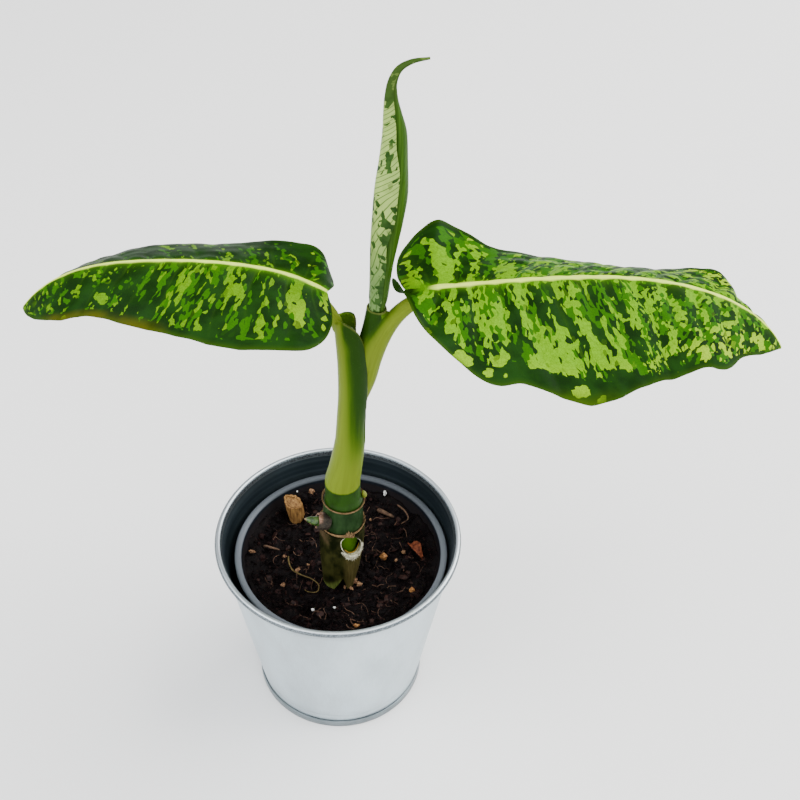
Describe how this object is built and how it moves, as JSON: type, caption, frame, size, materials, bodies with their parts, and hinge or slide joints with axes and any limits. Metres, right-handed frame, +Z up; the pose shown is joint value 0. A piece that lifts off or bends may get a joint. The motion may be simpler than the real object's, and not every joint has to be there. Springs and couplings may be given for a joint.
{
  "type": "potted dieffenbachia",
  "caption": "Young dieffenbachia with spread variegated leaves and a rolled new leaf, rooted in a dark plastic grower's pot inside a tapered zinc cachepot.",
  "frame": {"origin": "on the cachepot's axis, on the surface that the foot ring stands on", "axes": "+Z up along the cachepot's axis, +X towards the tip of the right leaf, -Y the side from which the plant is usually seen"},
  "size_m": [0.3544, 0.1398, 0.4169],
  "materials": {
    "zinc": "pale grey zinc-coated sheet, satin",
    "zinc_edge": "darker grey zinc-coated sheet, satin",
    "dark_plastic": "dark grey moulded plastic, slight sheen on the rim",
    "peat": "damp dark peat with bits of bark and grit",
    "cane_green": "smooth dark green living stem",
    "dried_husk": "dry papery tan husk",
    "olive_husk": "dull olive-brown old leaf base",
    "bud_green": "smooth green bud",
    "stalk_green": "smooth yellow-green to dark green stalk, satin",
    "leaf_green": "glossy dark green leaf with lime blotches and a cream midrib",
    "young_green": "pale silvery green underside of a rolled leaf with dark green patches"
  },
  "bodies": {
    "root": {"cachepot_wall": "zinc", "cachepot_base": "zinc_edge", "nursery_pot": "dark_plastic", "soil": "peat", "cane": "cane_green", "lower_leaf_scar": "dried_husk", "upper_leaf_scar": "dried_husk", "old_sheath": "olive_husk", "side_bud": "bud_green", "side_bud_bract": "dried_husk", "back_bud": "bud_green", "dry_stub": "dried_husk", "petiole_left": "stalk_green", "petiole_right": "stalk_green", "blade_left": "leaf_green", "blade_right": "leaf_green", "young_leaf": "young_green"}
  },
  "joints": []
}
